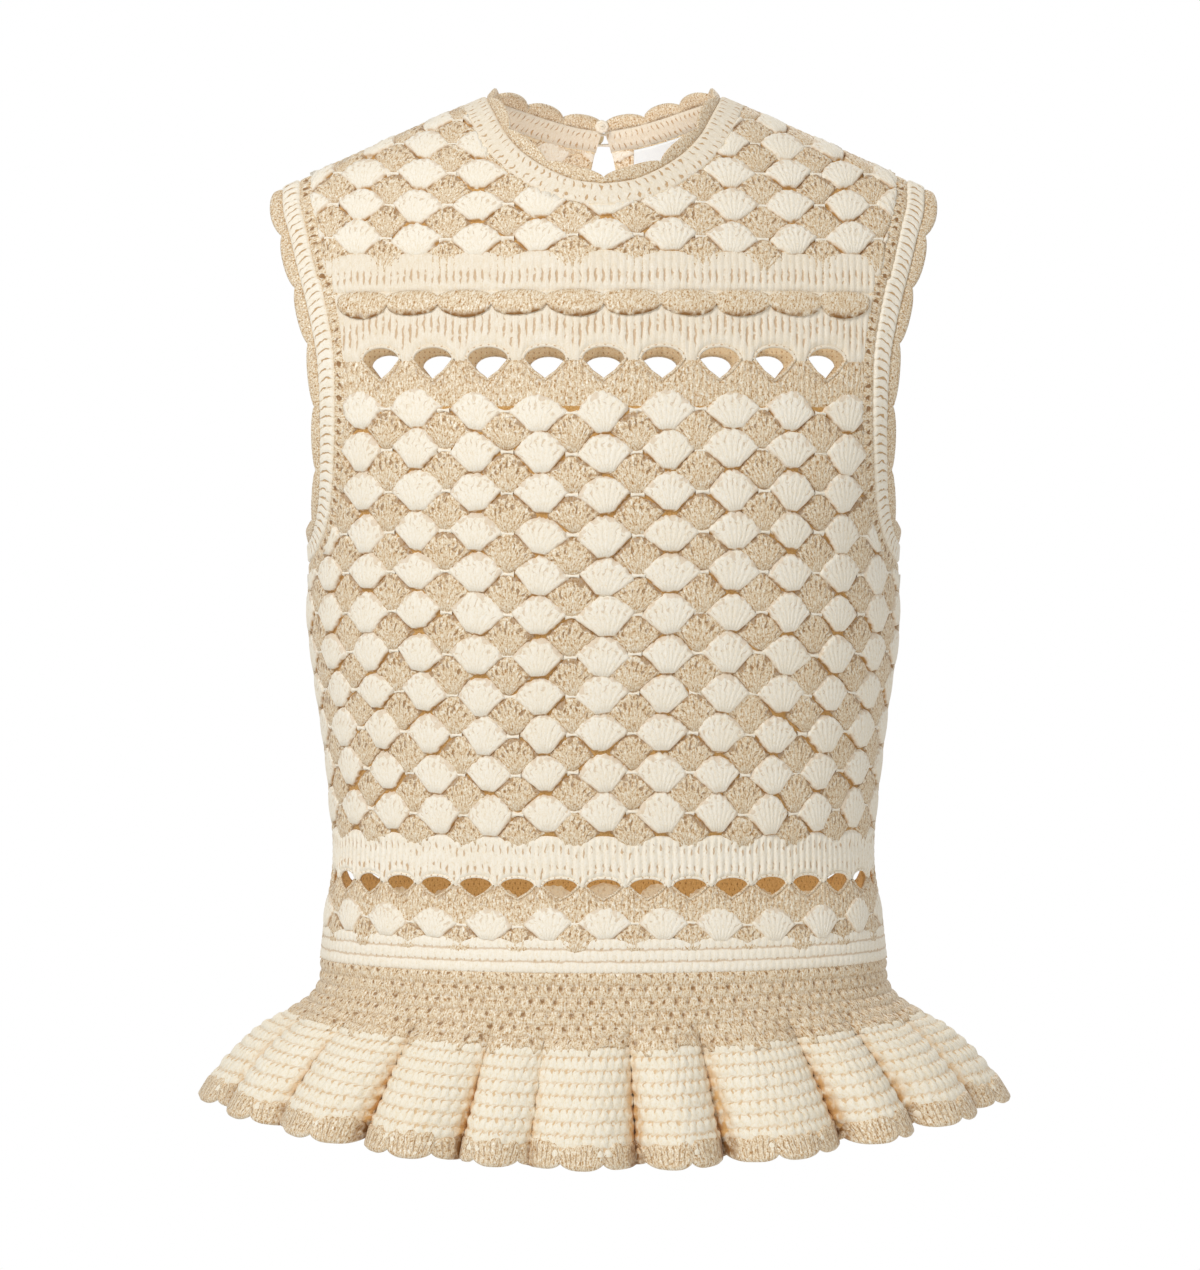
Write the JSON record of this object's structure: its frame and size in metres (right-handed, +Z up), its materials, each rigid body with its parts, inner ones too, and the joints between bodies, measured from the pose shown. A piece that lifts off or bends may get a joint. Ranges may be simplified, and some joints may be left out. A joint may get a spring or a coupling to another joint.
{
  "type": "crochet top",
  "caption": "Sleeveless crochet top with scalloped edges, eyelet bands and a fluted peplum, filled out and hollow as if worn.",
  "frame": {"origin": "on the centre line between the shoulders, at the height of the neck points, where the wearer's shoulders carry it", "axes": "+X towards the wearer's left, -Y towards the front of the garment, +Z up"},
  "size_m": [0.4391, 0.2747, 0.5689],
  "materials": {
    "cream_yarn": "matte cotton crochet yarn, cream",
    "gold_yarn": "beige crochet yarn with a fine gold metallic thread",
    "white_satin": "smooth white woven satin, blank"
  },
  "bodies": {
    "root": {"front_panel": "cream_yarn", "back_panel": "cream_yarn", "chest_trim_front": "gold_yarn", "chest_trim_back": "gold_yarn", "waist_band_front": "cream_yarn", "waist_band_back": "cream_yarn", "armhole_band_left": "cream_yarn", "armhole_band_right": "cream_yarn", "armhole_edging_left": "gold_yarn", "armhole_edging_right": "gold_yarn", "neck_band": "cream_yarn", "neck_edging": "gold_yarn", "neck_label": "white_satin", "nape_button": "cream_yarn", "nape_loop": "cream_yarn", "peplum_yoke": "gold_yarn", "peplum_ruffle": "cream_yarn", "hem_edging": "gold_yarn"}
  },
  "joints": []
}
